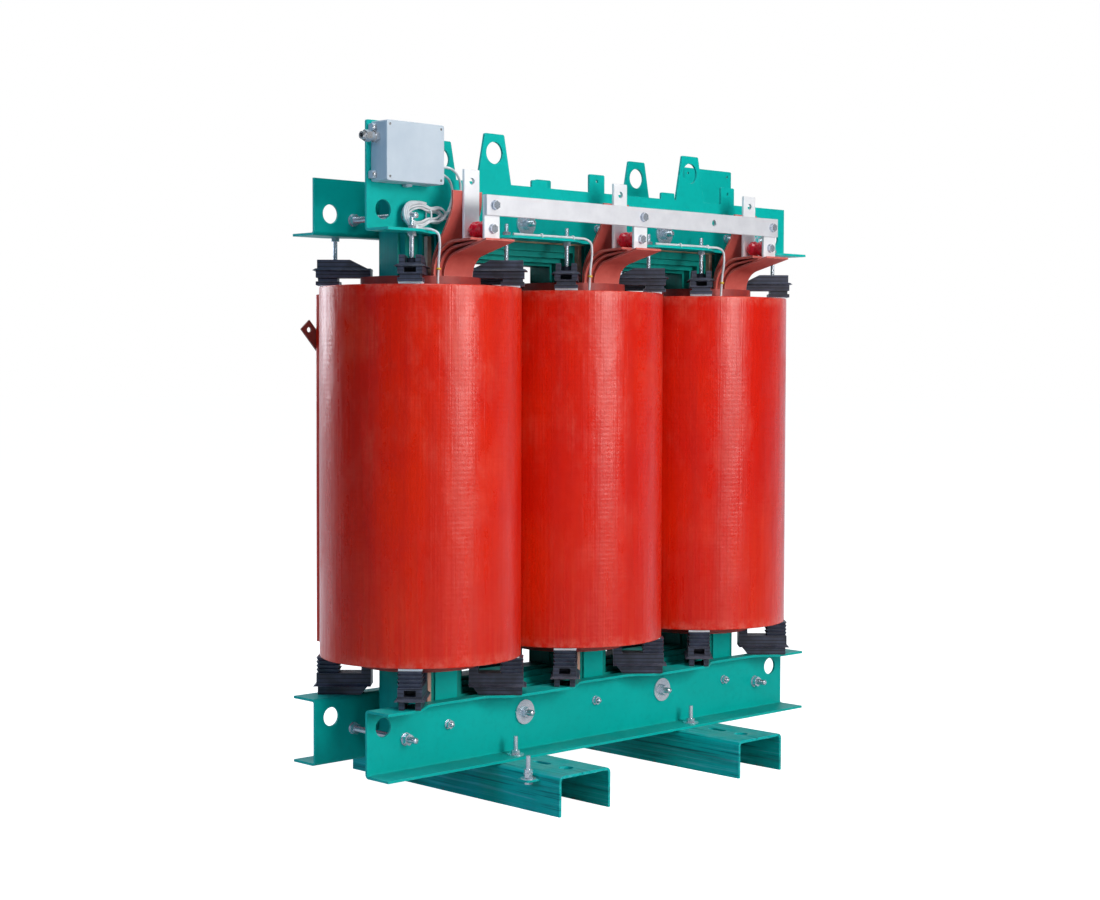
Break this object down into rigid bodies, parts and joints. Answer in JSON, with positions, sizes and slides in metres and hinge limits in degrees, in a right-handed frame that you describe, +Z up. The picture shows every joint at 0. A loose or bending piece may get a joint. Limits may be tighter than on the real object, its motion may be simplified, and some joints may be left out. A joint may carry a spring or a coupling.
{
  "type": "dry type transformer",
  "caption": "Three-phase cast-resin dry-type power transformer: round red coils on a clamped stepped core, with busbars and base channels.",
  "frame": {"origin": "on the floor, at the middle of the overall length and depth, 16 mm left of the middle leg's axis", "axes": "+X along the row of coils to the right as seen from the low-voltage side, -Y towards the low-voltage side, +Z up"},
  "size_m": [1.6, 0.81, 1.6901],
  "materials": {
    "frame_paint": "semi-gloss teal-green paint",
    "core_paint": "teal-green varnish over the laminations' edges",
    "support_moulding": "dark moulded compound, worn pale on the shed edges",
    "hv_resin": "satin red-orange cast resin",
    "lv_resin": "red resin end fill over a wound foil coil",
    "lead_primer": "matt red-oxide primer with bare edges",
    "busbar_aluminium": "drawn, lightly brushed",
    "box_paint": "fine-textured grey powder coat",
    "nickel": "satin nickel plate",
    "cable_sheath": "white-grey silicone sheath",
    "pad_silicone": "white silicone pad",
    "packing_fibre": "pressed fibre board",
    "board_fibre": "glass-fibre board",
    "insulator_red": "glossy crimson moulding",
    "terminal_copper": "dull red-brown primed copper",
    "tap_brass": "brass",
    "zinc_steel": "bright zinc plate"
  },
  "bodies": {
    "root": {"base_bolt_nuts": "zinc_steel", "base_bolts": "zinc_steel", "base_channel_left": "frame_paint", "base_channel_right": "frame_paint", "bottom_supports_left": "support_moulding", "bottom_supports_middle": "support_moulding", "bottom_supports_right": "support_moulding", "bottom_yoke": "core_paint", "box_cables": "cable_sheath", "box_screws": "nickel", "busbar_bolts": "zinc_steel", "busbar_nuts": "zinc_steel", "cable_bundle": "cable_sheath", "cable_gland": "nickel", "clamp_nuts": "zinc_steel", "clamp_washers": "zinc_steel", "coil_pads": "pad_silicone", "control_box_body": "box_paint", "control_box_lid": "box_paint", "core_leg_left": "core_paint", "core_leg_middle": "core_paint", "core_leg_right": "core_paint", "earth_bolt": "zinc_steel", "hv_bolts": "zinc_steel", "hv_coil_left": "hv_resin", "hv_coil_middle": "hv_resin", "hv_coil_right": "hv_resin", "hv_terminals": "terminal_copper", "leg_bolts": "zinc_steel", "leg_packing_strips": "packing_fibre", "leg_tie_plates": "frame_paint", "lower_clamp_front": "frame_paint", "lower_clamp_rear": "frame_paint", "lv_coil_left": "lv_resin", "lv_coil_middle": "lv_resin", "lv_coil_right": "lv_resin", "lv_leads_left": "lead_primer", "lv_leads_middle": "lead_primer", "lv_leads_right": "lead_primer", "neutral_bar": "busbar_aluminium", "neutral_risers": "busbar_aluminium", "phase_bars": "busbar_aluminium", "pressure_nuts": "zinc_steel", "pressure_screws": "zinc_steel", "sensor_cable_left": "cable_sheath", "sensor_cable_middle": "cable_sheath", "sensor_cable_right": "cable_sheath", "standoff_insulators": "insulator_red", "tap_bosses": "tap_brass", "tap_links": "tap_brass", "tie_rods": "zinc_steel", "top_supports_left": "support_moulding", "top_supports_middle": "support_moulding", "top_supports_right": "support_moulding", "top_yoke": "core_paint", "upper_clamp_front": "frame_paint", "upper_clamp_rear": "frame_paint", "yoke_bolts": "zinc_steel", "yoke_insulation": "board_fibre"}
  },
  "joints": []
}
